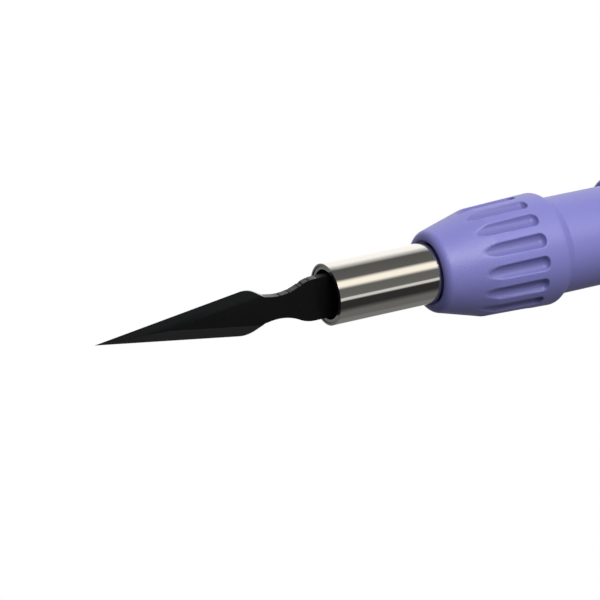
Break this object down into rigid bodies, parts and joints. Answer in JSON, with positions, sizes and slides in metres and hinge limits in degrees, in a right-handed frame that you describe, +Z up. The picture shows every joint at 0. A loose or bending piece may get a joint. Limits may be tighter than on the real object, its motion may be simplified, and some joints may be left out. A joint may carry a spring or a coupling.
{
  "type": "craft knife",
  "caption": "Pen-shaped hobby craft knife with a spear-point blade and a fluted twist collar that draws the blade back into its nose sleeve.",
  "frame": {"origin": "centre of the nose sleeve's mouth, on the knife's axis", "axes": "+X along the knife from the mouth to the end cap, +Z up, blade's flat sides face +Y and -Y"},
  "size_m": [0.1533, 0.0178, 0.0162],
  "materials": {
    "purple_plastic": "fine moulded texture",
    "grip_plastic": "fine moulded texture",
    "cap_plastic": "fine moulded texture",
    "polished_steel": "polished",
    "blade_black": "glossy black coating",
    "steel": "satin",
    "brass": "machined",
    "black_acetal": "moulded",
    "rubber_black": "matte"
  },
  "bodies": {
    "handle": {"barrel": "purple_plastic", "grip_sleeve": "grip_plastic", "nose_sleeve": "polished_steel", "guide_tube": "steel", "guide_anchor": "black_acetal", "anchor_pin": "steel", "thrust_washer": "black_acetal", "collar_o_ring": "rubber_black", "end_insert": "brass", "cap_seal": "rubber_black", "trim_ring": "polished_steel", "end_cap": "cap_plastic"},
    "twist_collar": {"collar": "purple_plastic", "cam_tube": "black_acetal", "rear_washer": "steel", "retaining_ring": "steel"},
    "carriage": {"blade_carrier": "black_acetal", "blade_clip": "steel", "clip_screw": "steel", "cam_pin": "steel"},
    "cutting_blade": {"blade": "blade_black"}
  },
  "joints": [
    {"name": "collar_twist", "type": "hinge", "parent": "handle", "child": "twist_collar", "pos_m": [0.0245, 0, 0], "axis": [-1, 0, 0], "range_deg": [0, 360]},
    {"name": "blade_travel", "type": "slide", "parent": "handle", "child": "carriage", "axis": [1, 0, 0], "range_m": [0, 0.033]},
    {"name": "blade_change", "type": "slide", "parent": "carriage", "child": "cutting_blade", "axis": [-1, 0, 0], "range_m": [0, 0.0142]}
  ],
  "couplings": [
    {"joint": "blade_travel", "follows": "collar_twist", "m_per_rad": 0.0052521}
  ]
}
